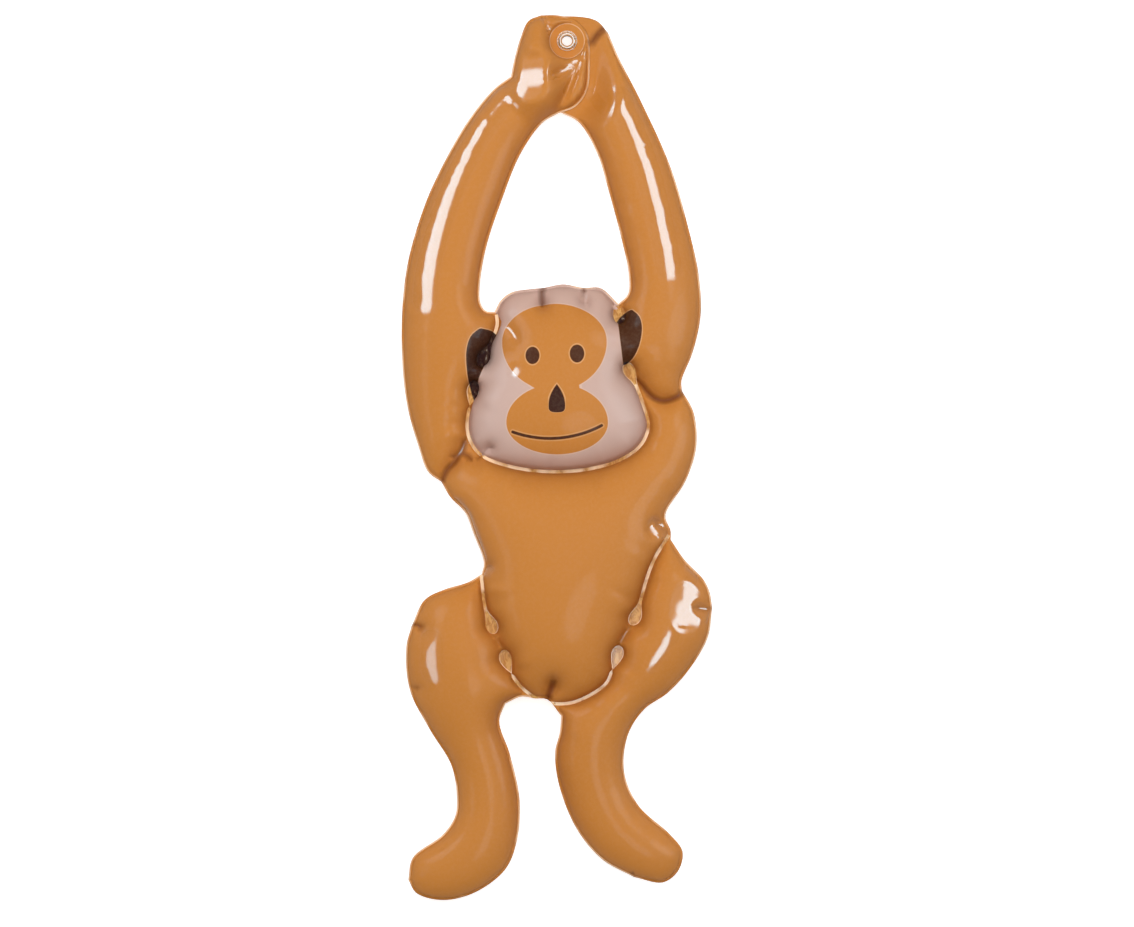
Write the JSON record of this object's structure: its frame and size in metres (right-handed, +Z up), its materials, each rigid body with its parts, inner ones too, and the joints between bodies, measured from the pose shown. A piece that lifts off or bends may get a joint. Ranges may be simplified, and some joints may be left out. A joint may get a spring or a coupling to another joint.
{
  "type": "inflatable monkey",
  "caption": "Inflatable monkey with raised arms, the hands joined one over the other by a moulded eyelet it hangs from",
  "frame": {"origin": "on the floor under the middle of the figure's outline, which lies on its back", "axes": "+X to the viewer's right, +Y from the feet to the raised hands, +Z up out of the chest"},
  "size_m": [0.21, 0.6, 0.0639],
  "materials": {
    "orange_film": "glossy printed vinyl film, orange, with a pink head",
    "clear_vinyl": "moulded clear vinyl, slightly yellowed"
  },
  "bodies": {
    "root": {"inflated_body": "orange_film", "hanging_eyelet": "clear_vinyl"}
  },
  "joints": []
}
